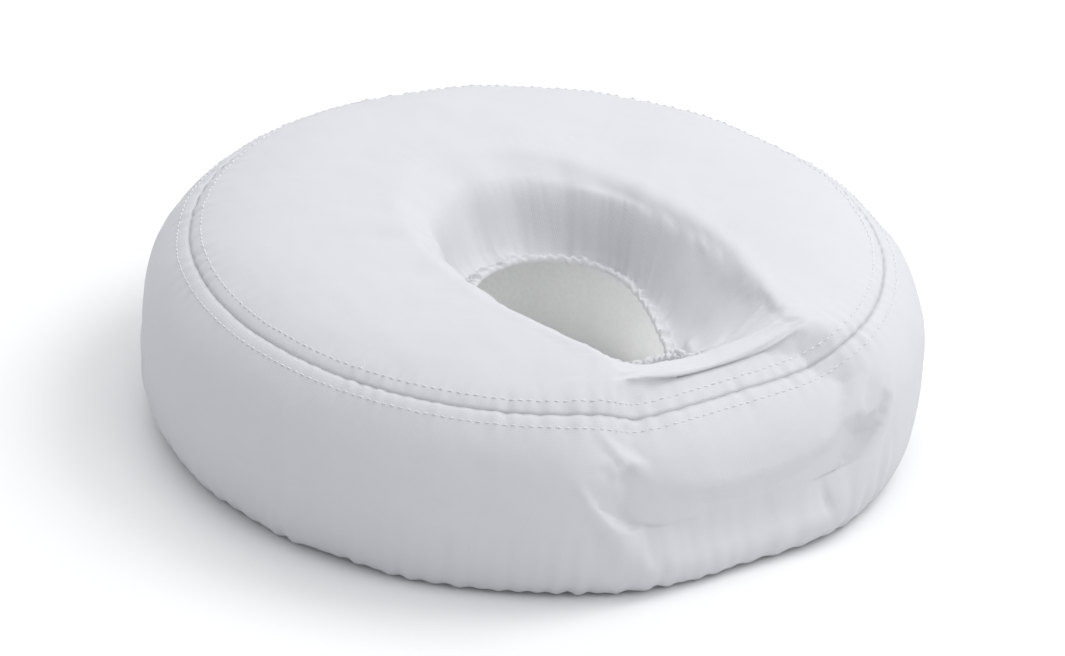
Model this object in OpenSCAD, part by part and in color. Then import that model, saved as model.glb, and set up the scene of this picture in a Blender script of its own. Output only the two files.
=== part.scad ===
// Face cradle cushion with its fitted cover.
// A horseshoe of two foams in a sewn upholstery shell, held to a cradle's
// platform by three strips of loop tape, inside a fitted cotton cover that is
// an elasticated cap with a slot over the face hole.
// +Z is up, towards the face. +Y is the forehead end and -Y the chin end.
// The origin is on the resting plane, under the middle of the cushion.

/* [Overall size] */
// Width across the covered cushion, ear to ear
cushion_w = 280; // [264:2:300]
// Length of the covered cushion, forehead to chin
cushion_l = 286; // [270:2:306]
// Height of the covered cushion above the plane it rests on
cushion_h = 80; // [72:1:90]

/* [Face hole and chin gap] */
// Half the width of the upholstered face hole
hole_r = 42; // [41:1:45]
// Y of the face hole's widest line
hole_y = -34; // [-38:1:-30]
// How far the face hole runs past its widest line towards the forehead
hole_top = 77; // [75:1:80]
// Half the width of the gap between the two chin ends
gap_r = 32; // [31:1:34]
// Corner radius of each chin end, seen from above
tip_r = 28; // [26:1:30]

/* [Fitted cover] */
// Half the width of the cover's slot
slot_r = 23; // [18:1:24]
// Half the length of the cover's slot
slot_len = 52; // [46:1:54]
// Y of the middle of the cover's slot
slot_y = -36; // [-40:1:-34]
// How far the cover dips from the crown to the slot's edge
slot_dip = 25; // [18:1:27]
// Thickness of the cover's cotton
cotton_t = 0.8; // [0.6:0.1:0.8]
// Width of the flat elastic in the hem
elastic_w = 7; // [5:0.5:7]

/* [Upholstery and foam] */
// Thickness of the upholstery
vinyl_t = 1.2; // [0.9:0.1:1.3]
// Height of the joint between the firm and the soft foam
foam_split = 46; // [43:1:52]

/* [Loop tape] */
// Width of the loop tape strips
tape_w = 30; // [20:1:32]
// Length of the two side strips
side_tape_l = 104; // [70:2:108]
// Length of the forehead strip
crown_tape_l = 90; // [60:2:94]

/* [Hidden] */

base_z = 2.6;                 // underside of the upholstery, and the thickness of the loop tape
slack = 0.4;                  // ease between the cover and the upholstery
e_vin = cotton_t + slack;     // inset of the upholstery's outside from the cover's outside
e_lin = e_vin + vinyl_t;      // inset of the upholstery's inside
e_foam = e_lin + 0.3;         // inset of the foam
edge_in = 27;                 // how far in the rounded top edge reaches
hole_edge = 15;               // how far the rounded top edge reaches from the face hole
mid_z = 40;                   // height of the widest line of the side
foot_r = 10;                  // rounding of the lower edge
seam_a = 60;                  // angle round the top edge at which the top panel's seam lies
hem_out = 14;                 // inset of the hem's mouth
hem_in = 24;                  // inset of the hem's fold
a = cushion_w / 2;
b = cushion_l / 2;
NE = 84;                      // points round the cover

// ---- points of the cover's round outline: [x, y, nx, ny, reach of the rounded edge] with the outward normal
function round_outline(n) = [for (i = [0:n - 1]) let (t = 90 + 360 * i / n,
    nx = cos(t) / a, ny = sin(t) / b, m = norm([nx, ny])) [a * cos(t), b * sin(t), nx / m, ny / m, edge_in]];

// ---- half of the horseshoe's outline from the crown down the +X side to the top of the hole
va = a - e_vin;
vb = b - e_vin;
sy = vb / va;                 // the outline is drafted on a circle and stretched along Y
cx = gap_r + tip_r;
cy = -sqrt(pow(va - tip_r, 2) - pow(cx, 2));
tip_t = atan2(cy, cx);        // where the tip's corner leaves the outer circle
function smooth(t) = t * t * (3 - 2 * t);
half_pts = concat(
    [for (i = [0:22]) let (t = 90 + (tip_t - 90) * i / 22) [va * cos(t), sy * va * sin(t)]],
    [for (i = [1:9]) let (t = tip_t + (-180 - tip_t) * i / 9) [cx + tip_r * cos(t), sy * (cy + tip_r * sin(t))]],
    [for (i = [1:10]) let (t = i / 10) [gap_r + (hole_r - gap_r) * smooth(t), sy * cy + (hole_y - sy * cy) * t]],
    [for (i = [1:9]) let (t = 90 * i / 9) [hole_r * cos(t), hole_y + hole_top * sin(t)]]);
NH = len(half_pts);
// the whole closed outline, with the two points on the centre line used once
shoe_pts = concat([for (i = [0:NH - 1]) half_pts[i]],
                  [for (i = [NH - 2:-1:1]) [-half_pts[i][0], half_pts[i][1]]]);
NS = len(shoe_pts);
// it runs clockwise, so the outward normal is on the left of the direction of travel
shoe = [for (i = [0:NS - 1]) let (p = shoe_pts[(i + NS - 1) % NS], q = shoe_pts[(i + 1) % NS],
        d = (q - p) / norm(q - p), k = i < NS / 2 ? i : NS - i)
    [shoe_pts[i][0], shoe_pts[i][1], -d[1], d[0], edge_in - e_vin + (hole_edge - edge_in + e_vin) * smooth(max(0, min(1, (k - 22) / 10)))]];
TIP = 27;                     // index of the middle of the +X chin end

// ---- side profile as [inset, z, share of the way on to the inner end of the rounded edge]
function foot(e, zb, n) = [for (i = [0:n]) let (t = 90 * i / n) [foot_r - (foot_r - e) * sin(t), zb + (foot_r - e) * (1 - cos(t))]];
function brow(e, t0, t1, n) = [for (i = [0:n]) let (t = t0 + (t1 - t0) * i / n) [e, mid_z + (cushion_h - mid_z - e) * sin(t), 1 - cos(t)]];

// ---- placing profile points on an outline, whose fifth number is the reach of its rounded edge
function inset(o, p) = p[2] == undef ? p[0] : p[0] + (o[4] - p[0]) * p[2];
function at(o, p) = let (e = inset(o, p)) [o[0] - e * o[2], o[1] - e * o[3], p[1]];
function sections(outline, profile) = [for (o = outline) [for (p = profile) at(o, p)]];
function rings(outline, profile) = [for (p = profile) [for (o = outline) at(o, p)]];

// faces between the rows of points r, each a closed loop
function wall(m, n, closed) = [for (i = [0:closed ? m - 1 : m - 2]) for (j = [0:n - 1])
    let (k = (i + 1) % m, l = (j + 1) % n) for (f = [[i * n + j, i * n + l, k * n + l], [i * n + j, k * n + l, k * n + j]]) f];

function flip(l) = [for (i = [len(l) - 1:-1:0]) l[i]];

// a flat cap over a loop that has the horseshoe's points: each side is a strip from the
// outside (0 at the crown to TIP) across to the face hole (TIP to the last point of the half)
function across(j) = NH - 1 - floor(j * (NH - 1 - TIP) / TIP + 0.5);
function half_cap() = [for (j = [0:TIP - 1]) for (f = concat(
    across(j + 1) == j + 1 ? [] : [[j, j + 1, across(j + 1)]],
    across(j) == across(j + 1) ? [] : [[j, across(j + 1), across(j)]])) f];
function shoe_cap(s) = concat([for (f = half_cap()) [for (k = f) s + k]],
    [for (f = half_cap()) [for (k = [f[0], f[2], f[1]]) s + (NS - k) % NS]]);
function plain_cap(n, s) = [[for (j = [0:n - 1]) s + j]];

// a solid through closed loops of points: a tube that ends in two caps, or one that meets itself.
// turn is true where the loops run the other way, so that the faces look outwards.
module skin(r, closed = false, turn = false) {
    m = len(r);
    n = len(r[0]);
    cap_a = n == NS ? shoe_cap(0) : plain_cap(n, 0);
    cap_b = n == NS ? shoe_cap((m - 1) * n) : plain_cap(n, (m - 1) * n);
    f = concat(wall(m, n, closed), closed ? [] : concat([for (t = cap_a) flip(t)], cap_b));
    polyhedron(points = [for (s = r) each s], faces = turn ? [for (t = f) flip(t)] : f, convexity = 8);
}

// ---- the cover's face dips towards the slot, in a valley as wide as the horseshoe's hole and
// gap, and less deep at the chin end. Line i runs from the slot's edge out to the perimeter.
function drop(i) = smooth(min(1, (sin(90 + 360 * i / NE) + 1) / 0.4));
function reach(i) = let (v = rim[i] - slot[i], m = norm(v), side = 48 - abs(slot[i][0]))
    min(0.9 * m, slot[i][1] > slot_y ? 27 : side * m / max(0.01, abs(v[0])));
// height of the cover's outside on line i at distance d from the slot's edge
function dip(i, d) = cushion_h - slot_dip * (0.6 + 0.4 * drop(i))
    * (d <= 8 ? 1 : d >= reach(i) ? 0 : 0.5 * (1 + cos(180 * (d - 8) / (reach(i) - 8))));
slot = [for (i = [0:NE - 1]) let (t = 90 + 360 * i / NE)
    [slot_r * cos(t) * (1 + 0.8 * sin(t)), slot_y + slot_len * sin(t)]];
rim = [for (o = round_outline(NE)) [o[0] - edge_in * o[2], o[1] - edge_in * o[3]]];
// the point at distance d from the slot along line i, at height h above the cover's outside
function from_slot(i, d, h) = let (v = rim[i] - slot[i], m = norm(v)) [slot[i][0] + v[0] * d / m, slot[i][1] + v[1] * d / m, dip(i, d) + h];
function slot_ring(d, h) = [for (i = [0:NE - 1]) from_slot(i, d, h)];
// rings of the panel between the dip and the rim, and rings inside the dip
function out_ring(s, h) = [for (i = [0:NE - 1]) let (m = norm(rim[i] - slot[i])) from_slot(i, reach(i) + (m - reach(i)) * s, h)];
function dip_ring(s, h) = [for (i = [0:NE - 1]) from_slot(i, 8 + (reach(i) - 8) * s, h)];
function panel_inside(h) = concat([out_ring(0.5, h), out_ring(0, h)], [for (s = [0.84, 0.68, 0.52, 0.36, 0.18, 0]) dip_ring(s, h)], [slot_ring(4.4, h)]);

// ================= fitted cover =================

// Top panel: one piece of cotton from the perimeter seam down to the slot
module cover_top_panel() {
    o = round_outline(NE);
    outer = concat(rings(o, brow(0, seam_a, 90, 3)), panel_inside(0));
    inner = concat(flip(panel_inside(-cotton_t)), rings(o, flip(brow(cotton_t, seam_a, 90, 3))));
    color("white") skin(concat(outer, inner), closed = true, turn = false);
}

// Skirt: one strip round the side, tucked under the lower edge
module cover_skirt() {
    outer = concat([[hem_out + 1.6, 0.8]], foot(0, 0.8, 4), brow(0, 0, seam_a, 5));
    inner = concat(flip(brow(cotton_t, 0, seam_a, 5)), flip(foot(cotton_t, 0.8 + cotton_t, 4)), [[hem_out + 1.6, 0.8 + cotton_t]]);
    color("white") skin(sections(round_outline(NE), concat(outer, inner)), closed = true, turn = true);
}

// Hem binding: a folded tape round the underside that carries the elastic
module cover_hem_binding() {
    profile = [[hem_out, 0], [hem_in - 0.5, 0], [hem_in, 0.5], [hem_in, 1.9], [hem_in - 0.5, 2.4], [hem_out, 2.4],
               [hem_out, 1.75], [hem_in - 0.6, 1.75], [hem_in - 0.6, 0.65], [hem_out, 0.65]];
    color("whitesmoke") skin(sections(round_outline(NE), profile), closed = true, turn = true);
}

// Flat elastic inside the hem binding
module cover_hem_elastic() {
    color("ivory") skin(sections(round_outline(NE),
        [[hem_in - 0.8 - elastic_w, 0.75], [hem_in - 0.8, 0.75], [hem_in - 0.8, 1.65], [hem_in - 0.8 - elastic_w, 1.65]]), closed = true, turn = true);
}

// Slot binding: a folded tape round the slot's edge
module cover_slot_binding() {
    profile = [[0, -1.2], [0.5, -1.7], [4.4, -1.7], [7, -1.7], [7, -1.1], [4.4, -1.1], [0.7, -1.1],
        [0.7, 0.2], [4.4, 0.2], [7, 0.2], [7, 0.7], [4.4, 0.7], [0.5, 0.7], [0, 0.2]];
    color("whitesmoke") skin([for (i = [0:NE - 1]) [for (p = profile) from_slot(i, p[0], p[1])]], closed = true, turn = true);
}

// Round-edged elastic inside the slot binding
module cover_slot_elastic() {
    profile = [[1, -0.8], [3.9, -0.8], [3.9, 0], [1, 0]];
    color("ivory") skin([for (i = [0:NE - 1]) [for (p = profile) from_slot(i, p[0], p[1])]], closed = true, turn = true);
}

// Blank care label sewn into the hem, lying against the underside
module care_label() {
    color("white") rotate([0, 0, 45]) translate([-9, a - hem_in - 24.4, 1.2]) cube([18, 25, 0.5]);
}

// ================= upholstered cushion =================

// Top panel of the upholstery
module cushion_top_panel() {
    color("darkgray") skin(panel_rings(), closed = false, turn = false);
}
// the shoe outline is already the upholstery's outside, so its insets are counted from e_vin
function shoe_profile(p) = [for (q = p) [q[0] - e_vin, q[1], q[2]]];
function panel_rings() = concat(
    flip(rings(shoe, shoe_profile(brow(e_lin, seam_a, 90, 3)))),
    rings(shoe, shoe_profile(brow(e_vin, seam_a, 90, 3))));

// profile of the side band, from the lower seam up to the top panel's seam and back inside
function band_profile() = concat(
    shoe_profile(concat(foot(e_vin, base_z, 3), brow(e_vin, 0, seam_a, 5))),
    shoe_profile(concat(flip(brow(e_lin, 0, seam_a, 5)), flip(foot(e_lin, base_z + vinyl_t, 3)))));

// Outer side band, from chin end to chin end round the outside
module cushion_outer_band() {
    s = sections([for (i = [NS - TIP:NS + TIP]) shoe[i % NS]], band_profile());
    color("darkgray") skin(s, closed = false, turn = false);
}

// Inner side band, from chin end to chin end round the face hole
module cushion_inner_band() {
    s = sections([for (i = [TIP:NS - TIP]) shoe[i]], band_profile());
    color("darkgray") skin(s, closed = false, turn = false);
}

// Bottom panel of the upholstery
module cushion_bottom_panel() {
    d = foot_r - e_vin;
    color("dimgray") translate([0, 0, base_z]) linear_extrude(vinyl_t) polygon([for (o = shoe) [o[0] - d * o[2], o[1] - d * o[3]]]);
}

// Firm foam that carries the head's weight
module base_foam() {
    t = asin((foam_split - mid_z) / (cushion_h - mid_z - e_foam));
    color("khaki") skin(rings(shoe, shoe_profile(concat(foot(e_foam, base_z + vinyl_t + 0.3, 3), brow(e_foam, 0, t, 1)))), closed = false, turn = true);
}

// Soft foam under the face
module comfort_foam() {
    t = asin((foam_split + 0.2 - mid_z) / (cushion_h - mid_z - e_foam));
    color("lemonchiffon") skin(rings(shoe, shoe_profile(brow(e_foam, t, 90, 5))), closed = false, turn = true);
}

// ================= loop tape on the underside =================

// A strip of loop tape with its short corners cut, centred on its face
module tape(l, w) {
    c = 3;
    color("silver") linear_extrude(base_z) polygon([[-w / 2 + c, -l / 2], [w / 2 - c, -l / 2], [w / 2, -l / 2 + c], [w / 2, l / 2 - c],
        [w / 2 - c, l / 2], [-w / 2 + c, l / 2], [-w / 2, l / 2 - c], [-w / 2, -l / 2 + c]]);
}
tape_x = a - 60;              // how far out the side strips lie
module loop_strip_left() { translate([-tape_x, -8, 0]) tape(side_tape_l, tape_w); }
module loop_strip_right() { translate([tape_x, -8, 0]) tape(side_tape_l, tape_w); }
module loop_strip_crown() { translate([0, b - 54, 0]) rotate([0, 0, 90]) tape(crown_tape_l, tape_w); }

cover_top_panel();
cover_skirt();
cover_hem_binding();
cover_hem_elastic();
cover_slot_binding();
cover_slot_elastic();
care_label();
cushion_top_panel();
cushion_outer_band();
cushion_inner_band();
cushion_bottom_panel();
comfort_foam();
base_foam();
loop_strip_left();
loop_strip_right();
loop_strip_crown();
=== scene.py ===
import math
import bpy
import bmesh
import numpy as np
from mathutils import Vector, Matrix


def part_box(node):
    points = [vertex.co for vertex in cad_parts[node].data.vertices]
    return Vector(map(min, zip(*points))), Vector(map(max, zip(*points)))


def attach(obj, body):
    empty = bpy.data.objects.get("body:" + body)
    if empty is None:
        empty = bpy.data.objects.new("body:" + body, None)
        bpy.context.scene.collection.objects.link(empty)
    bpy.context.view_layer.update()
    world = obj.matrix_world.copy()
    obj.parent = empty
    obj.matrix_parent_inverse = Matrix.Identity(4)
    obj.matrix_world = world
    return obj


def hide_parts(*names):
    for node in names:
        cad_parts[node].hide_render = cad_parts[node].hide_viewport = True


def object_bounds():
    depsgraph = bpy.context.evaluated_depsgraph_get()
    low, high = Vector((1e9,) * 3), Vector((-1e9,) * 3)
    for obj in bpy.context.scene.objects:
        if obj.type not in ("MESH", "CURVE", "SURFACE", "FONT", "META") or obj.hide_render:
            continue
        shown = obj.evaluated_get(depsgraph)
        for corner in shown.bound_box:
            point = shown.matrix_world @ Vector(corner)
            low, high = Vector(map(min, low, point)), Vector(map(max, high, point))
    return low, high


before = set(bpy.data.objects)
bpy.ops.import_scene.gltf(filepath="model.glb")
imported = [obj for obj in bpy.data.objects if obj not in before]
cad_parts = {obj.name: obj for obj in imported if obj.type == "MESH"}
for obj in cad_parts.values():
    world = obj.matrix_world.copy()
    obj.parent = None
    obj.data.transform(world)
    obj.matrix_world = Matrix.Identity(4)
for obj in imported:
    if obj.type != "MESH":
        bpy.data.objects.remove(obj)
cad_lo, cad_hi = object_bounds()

# All shape work is in millimetres in the CAD's own frame, and goes to metres when a mesh is made.
MM = 0.001
A, B, H = [(cad_hi[0] - cad_lo[0]) * 500, (cad_hi[1] - cad_lo[1]) * 500, cad_hi[2] * 1000]
MID = 40.0          # height of the widest line of the side
EDGE, POW = 60.0, 2.3   # reach and roundness of the soft top edge
FOOT, FOOT_V = 10.0, 27.0   # rounding of the lower edge, across and upwards
SLOT_R, SLOT_L, SLOT_Y, DIP = 23.0, 52.0, -36.0, 25.0
GAP_R, TIP_R, HOLE_R, HOLE_Y, HOLE_TOP, HOLE_EDGE = 32.0, 28.0, 42.0, -34.0, 77.0, 12.0
BASE_Z = 2.6
SEAM_IN = 15.0      # inset of the perimeter seam
TAU = 2 * math.pi
Z = np.array([0.0, 0.0, 1.0])


# ------------------------------------------------------------------ small tools

def smooth(t):
    t = np.clip(t, 0, 1)
    return t * t * (3 - 2 * t)


def wavy(t, seed, low, high, power=0.5):
    """A smooth random line round the ring: t in radians, about unit size."""
    r = np.random.default_rng(seed)
    out, total = np.zeros_like(t), 0.0
    for k in range(low, high + 1):
        w = (low / k) ** power * r.uniform(0.5, 1.0)
        out = out + w * np.cos(k * t + r.uniform(0, TAU))
        total += w * w / 2
    return out / math.sqrt(total)


def lumps(x, y, z, seed, size, n=26):
    """Smooth random lumps of about the given size in mm, about unit height."""
    r = np.random.default_rng(seed)
    out = 0.0
    for _ in range(n):
        d = r.normal(size=3)
        d /= np.linalg.norm(d)
        k = TAU / (size * r.uniform(0.75, 1.5))
        out = out + np.cos(k * (d[0] * x + d[1] * y + d[2] * z) + r.uniform(0, TAU))
    return out / math.sqrt(n / 2)


def unit(v):
    return v / np.maximum(np.linalg.norm(v, axis=-1, keepdims=True), 1e-12)


def grid_normals(P, loop=True):
    """Normals of a grid P[row, column, 3] whose columns run round a loop."""
    du = (np.roll(P, -1, 1) - np.roll(P, 1, 1)) if loop else np.gradient(P, axis=1)
    return unit(np.cross(du, np.gradient(P, axis=0)))


def grid_faces(m, n, loop=True, start=0, turn=False):
    i, j = np.meshgrid(np.arange(m - 1), np.arange(n if loop else n - 1), indexing="ij")
    k = (j + 1) % n
    f = np.stack([i * n + j, i * n + k, (i + 1) * n + k, (i + 1) * n + j], -1).reshape(-1, 4) + start
    return f[:, ::-1] if turn else f


def new_mesh(name, verts, faces, uv=None, weld=0.0, flat=False):
    """verts in mm. uv is one pair for each vertex."""
    me = bpy.data.meshes.new(name)
    verts = np.array(verts, float)
    if not flat:
        verts[:, 2] = np.maximum(verts[:, 2], 0.02)      # nothing goes through the resting plane
    me.from_pydata((verts * MM).tolist(), [], [tuple(int(q) for q in f) for f in faces])
    if uv is not None:
        layer = me.uv_layers.new(name="cloth")
        idx = np.zeros(len(me.loops), np.int32)
        me.loops.foreach_get("vertex_index", idx)
        layer.data.foreach_set("uv", (np.asarray(uv, float)[idx]).astype(np.float32).ravel())
    o = bpy.data.objects.new(name, me)
    bpy.context.scene.collection.objects.link(o)
    bm = bmesh.new()
    bm.from_mesh(me)
    if weld:
        bmesh.ops.remove_doubles(bm, verts=bm.verts, dist=weld * MM)
        bmesh.ops.dissolve_degenerate(bm, edges=bm.edges, dist=0.002 * MM)
    bmesh.ops.recalc_face_normals(bm, faces=bm.faces)
    bm.to_mesh(me)
    bm.free()
    me.polygons.foreach_set("use_smooth", np.full(len(me.polygons), not flat))
    me.update()
    return o


def ring_shell(name, outer, inner, uv=None):
    """A closed ring of cloth between two grids [row, column, 3] of the same size."""
    m, n, _ = outer.shape
    v = np.concatenate([outer.reshape(-1, 3), inner.reshape(-1, 3)])
    f = [grid_faces(m, n), grid_faces(m, n, start=m * n, turn=True)]
    j = np.arange(n)
    k = (j + 1) % n
    s = m * n
    f.append(np.stack([j, s + j, s + k, k], -1))
    e = (m - 1) * n
    f.append(np.stack([e + k, s + e + k, s + e + j, e + j], -1))
    u = None if uv is None else np.concatenate([uv.reshape(-1, 2), uv.reshape(-1, 2)])
    return new_mesh(name, v, np.concatenate(f), u)


def ring_tube(name, sections, uv=None):
    """A closed ring whose section [point, column, 3] is itself a closed loop."""
    m, n, _ = sections.shape
    i, j = np.meshgrid(np.arange(m), np.arange(n), indexing="ij")
    ii, jj = (i + 1) % m, (j + 1) % n
    f = np.stack([i * n + j, i * n + jj, ii * n + jj, ii * n + j], -1).reshape(-1, 4)
    return new_mesh(name, sections.reshape(-1, 3), f, None if uv is None else uv.reshape(-1, 2))


# ------------------------------------------------------------------ shape of the cover

def outline(t):
    """Point and outward normal of the round outline at angle t (radians from the +X side)."""
    p = np.stack([A * np.cos(t), B * np.sin(t), 0 * t], -1)
    n = unit(np.stack([np.cos(t) / A, np.sin(t) / B, 0 * t], -1))
    return p, n


def edge_z(e):
    """Height of the outside of the cover at inset e from the outline, in the upper half."""
    c = 1 - np.clip(e / EDGE, 0, 1)
    return MID + (H - 0.9 - MID) * (1 - c ** POW) ** (1 / POW) + 1.0 * smooth((e - 40) / 50)


def about_inset(x, y):
    return (1 - np.sqrt((x / A) ** 2 + (y / B) ** 2)) * (A + B) / 2


def slot_at(t):
    return np.stack([SLOT_R * np.cos(t) * (1 + 0.8 * np.sin(t)), SLOT_Y + SLOT_L * np.sin(t), 0 * t], -1)


def in_hole(x, y):
    """Whether a point is over the horseshoe's open middle."""
    low = GAP_R + (HOLE_R - GAP_R) * smooth((y + 104) / (HOLE_Y + 104))
    return np.where(y > HOLE_Y, (x / HOLE_R) ** 2 + ((y - HOLE_Y) / HOLE_TOP) ** 2 < 1, np.abs(x) < low)


def dip_at(t, d, m, slot, rim):
    """How far the valley lies below the crown at distance d from the slot."""
    drop = smooth((np.sin(t) + 1) / 0.4)
    v = rim - slot
    s = np.linspace(0, 1, 240)[:, None]
    over = in_hole(slot[..., 0] + v[..., 0] * s, slot[..., 1] + v[..., 1] * s)
    first_out = np.where(over.all(0), len(s) - 1, np.argmin(over, 0)) / (len(s) - 1)
    reach = np.minimum(first_out * m + 2.0, 0.92 * m)
    soft = np.mean([np.roll(reach, i) for i in range(-4, 5)], 0)
    reach = np.minimum(reach + 1.0, soft)
    s = np.clip((d - 5) / np.maximum(reach - 5, 1), 0, 1)
    return DIP * (0.6 + 0.4 * drop) * 0.5 * (1 + np.cos(math.pi * s)) * (1 + 0.02 * (1 - s))


def cover_grid(n, tops, brows, sides, feet, unders, off=0.0):
    """The cover from the slot's edge (row 0) over the crown, down the side and under to the
    hem's fold (last row): points [row, column, 3], off mm outside the fair shape."""
    t = math.pi / 2 + TAU * np.arange(n) / n
    o, nr = outline(t)
    slot, rim = slot_at(t), o - 27 * nr
    v = rim - slot
    m = np.linalg.norm(v, axis=-1)
    rows = []
    for k in range(tops):
        u = (k / tops) ** 1.12
        d = u * m
        p = slot + v * u
        e = about_inset(p[:, 0], p[:, 1])
        p = p.copy()
        p[:, 2] = edge_z(e) - dip_at(t, d, m, slot, rim) + off
        rows.append(p)
    c27 = (1 - 27 / EDGE) ** (POW / 2)
    f0 = math.acos(c27)
    for k in range(brows):
        f = f0 * (1 - k / brows)
        e = EDGE * (1 - math.cos(f) ** (2 / POW))
        p = o - (e - off * math.cos(f)) * nr
        rows.append(p + Z * (float(edge_z(np.array(e))) + off * math.sin(f)))
    for k in range(sides):
        u = k / sides
        rows.append(o + off * nr + Z * (MID + (0.8 + FOOT_V - MID) * u))
    for k in range(feet):
        f = math.pi / 2 * k / feet
        rows.append(o - (FOOT - (FOOT + off) * math.cos(f)) * nr + Z * (0.8 + FOOT_V - (FOOT_V + off) * math.sin(f)))
    for k in range(unders + 1):
        rows.append(o - (FOOT + 14 * k / unders) * nr + Z * (0.8 - off))
    P = np.array(rows)
    far = smooth((-P[..., 1] - 60) / 70)
    P[..., 1] += 4.2 * far * smooth((50 - np.abs(P[..., 0])) / 50)
    return P, t


# ------------------------------------------------------------------ shape of the horseshoe

def shoe_outline(n_out=96, n_tip=30, n_side=34, n_top=40):
    """The horseshoe's closed outline as in the CAD: points, outward normals, reach of the rounded
    edge, index of the middle of the +X end, and number of points in the half."""
    va, vb = A - 1.2, B - 1.2
    sy = vb / va
    cx = GAP_R + TIP_R
    cy = -math.sqrt((va - TIP_R) ** 2 - cx ** 2)
    tip_t = math.atan2(cy, cx)
    half = []
    for i in range(n_out + 1):
        t = math.pi / 2 + (tip_t - math.pi / 2) * i / n_out
        half.append((va * math.cos(t), sy * va * math.sin(t)))
    for i in range(1, n_tip + 1):
        t = tip_t + (-math.pi - tip_t) * i / n_tip
        half.append((cx + TIP_R * math.cos(t), sy * (cy + TIP_R * math.sin(t))))
    for i in range(1, n_side + 1):
        u = i / n_side
        half.append((GAP_R + (HOLE_R - GAP_R) * float(smooth(u)), sy * cy + (HOLE_Y - sy * cy) * u))
    for i in range(1, n_top + 1):
        t = math.pi / 2 * i / n_top
        half.append((HOLE_R * math.cos(t), HOLE_Y + HOLE_TOP * math.sin(t)))
    half = np.array(half)
    nh = len(half)
    pts = np.concatenate([half, half[-2:0:-1] * [-1, 1]])
    ns = len(pts)
    d = unit(np.roll(pts, -1, 0) - np.roll(pts, 1, 0))
    nrm = np.stack([-d[:, 1], d[:, 0]], -1)
    k = np.minimum(np.arange(ns), ns - np.arange(ns))
    wide = PAD_OUT + (PAD_IN - PAD_OUT) * smooth((k - n_out) / n_tip) + (PAD_CROWN - PAD_IN) * smooth((k - n_out - n_tip - n_side) / n_top)
    reach = np.minimum(25.8, wide + 2)
    tip = n_out + n_tip // 2
    P = np.concatenate([pts, np.zeros((ns, 1))], 1)
    N = np.concatenate([nrm, np.zeros((ns, 1))], 1)
    return P, N, reach, wide, tip, nh


PAD_OUT, PAD_IN, PAD_CROWN = 60.0, 10.0, 20.0   # reach of the padded top's rounding: outside, face hole, its crown end
PAD_GAP = 0.5                  # room between the upholstery and the cover's inside
PAD_H = H - 0.9 - 0.8 - PAD_GAP
SP, SN, SR, SW, TIP, NH = shoe_outline()
NS = len(SP)


def under_cover(p, z, e=0.0):
    """Heights z at the points p, kept under the round top edge of the cover."""
    top = edge_z(np.maximum(about_inset(p[..., 0], p[..., 1]), 0.0)) - 0.8 - PAD_GAP - 0.1 - e
    return np.where(z > MID, np.maximum(np.minimum(z, top), MID), z)


def pad_drop(d, reach):
    """How far the upholstered top has fallen at distance d from the edge."""
    c = 1 - np.clip(d / reach, 0, 1)
    return 1 - (1 - c ** POW) ** (1 / POW)


def shoe_profile(kind, e, count, lo=0.0, hi=1.0):
    """Rows of the horseshoe's skin, e mm inside its outside. foot: round the lower edge, from the
    bottom seam up. brow: the side and the top edge, lo and hi as parts of the way up."""
    out = []
    last = SR - 2.0                      # where the rings end and the cap begins
    for k in range(count):
        u = lo + (hi - lo) * k / (count - 1)
        f = math.pi / 2 * u
        if kind == "foot":
            inset = np.full(NS, PAD_GAP + 8.8 - (8.8 - e) * math.sin(f))
            z = np.full(NS, BASE_Z + e + (FOOT_V - 1.2 - e) * (1 - math.cos(f)))
        else:
            # the angle runs to where each edge's own inset reaches its last ring
            top = np.arccos(np.clip(1 - last / SW, 0, 1) ** (POW / 2))
            g = top * u
            inset = SW * (1 - np.cos(g) ** (2 / POW)) + e * np.cos(g) + PAD_GAP
            z = MID + (PAD_H - MID) * np.sin(g) ** (2 / POW) - e * np.sin(g)
            q = SP - inset[:, None] * SN
            z = under_cover(q, z, e)
        out.append(SP - inset[:, None] * SN + Z * z[:, None])
    return out


def shoe_cap(ring, across_n=14, rise=False):
    """Fills a ring of the horseshoe's points with a soft sheet: grid points over the +X half and
    their mirror images, as two grids [along, across, 3]. With rise the sheet goes on up to the
    padded top's full height between the two edges."""
    j = np.arange(TIP + 1)
    a = NH - 1 - np.floor(j * (NH - 1 - TIP) / TIP + 0.5).astype(int)
    u = np.linspace(0, 1, across_n)[None, :, None]
    g = []
    for out_i, in_i in ((j, a), ((NS - j) % NS, (NS - a) % NS)):
        p, q = ring[out_i][:, None, :], ring[in_i][:, None, :]
        s = p + (q - p) * u
        if rise:
            w = np.linalg.norm(q - p, axis=-1, keepdims=True)
            span = PAD_H - MID
            d0, d1 = (SR[out_i] - 2.0)[:, None, None], (SR[in_i] - 2.0)[:, None, None]
            w0, w1 = SW[out_i][:, None, None], SW[in_i][:, None, None]
            low0, low1 = span * pad_drop(d0, w0), span * pad_drop(d1, w1)
            now = span * pad_drop(d0 + u * w, w0) + span * pad_drop(d1 + (1 - u) * w, w1)
            ends = low0 * (1 - u) + low1 * u
            edge0 = span * (pad_drop(d0, w0) + pad_drop(d1 + w, w1))
            edge1 = span * (pad_drop(d0 + w, w0) + pad_drop(d1, w1))
            fix = (edge0 - low0) * (1 - u) + (edge1 - low1) * u
            s = s + Z * (ends - (now - fix))
            s[..., 2] = under_cover(s, s[..., 2])
        g.append(s)
    return g


# ------------------------------------------------------------------ materials

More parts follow.
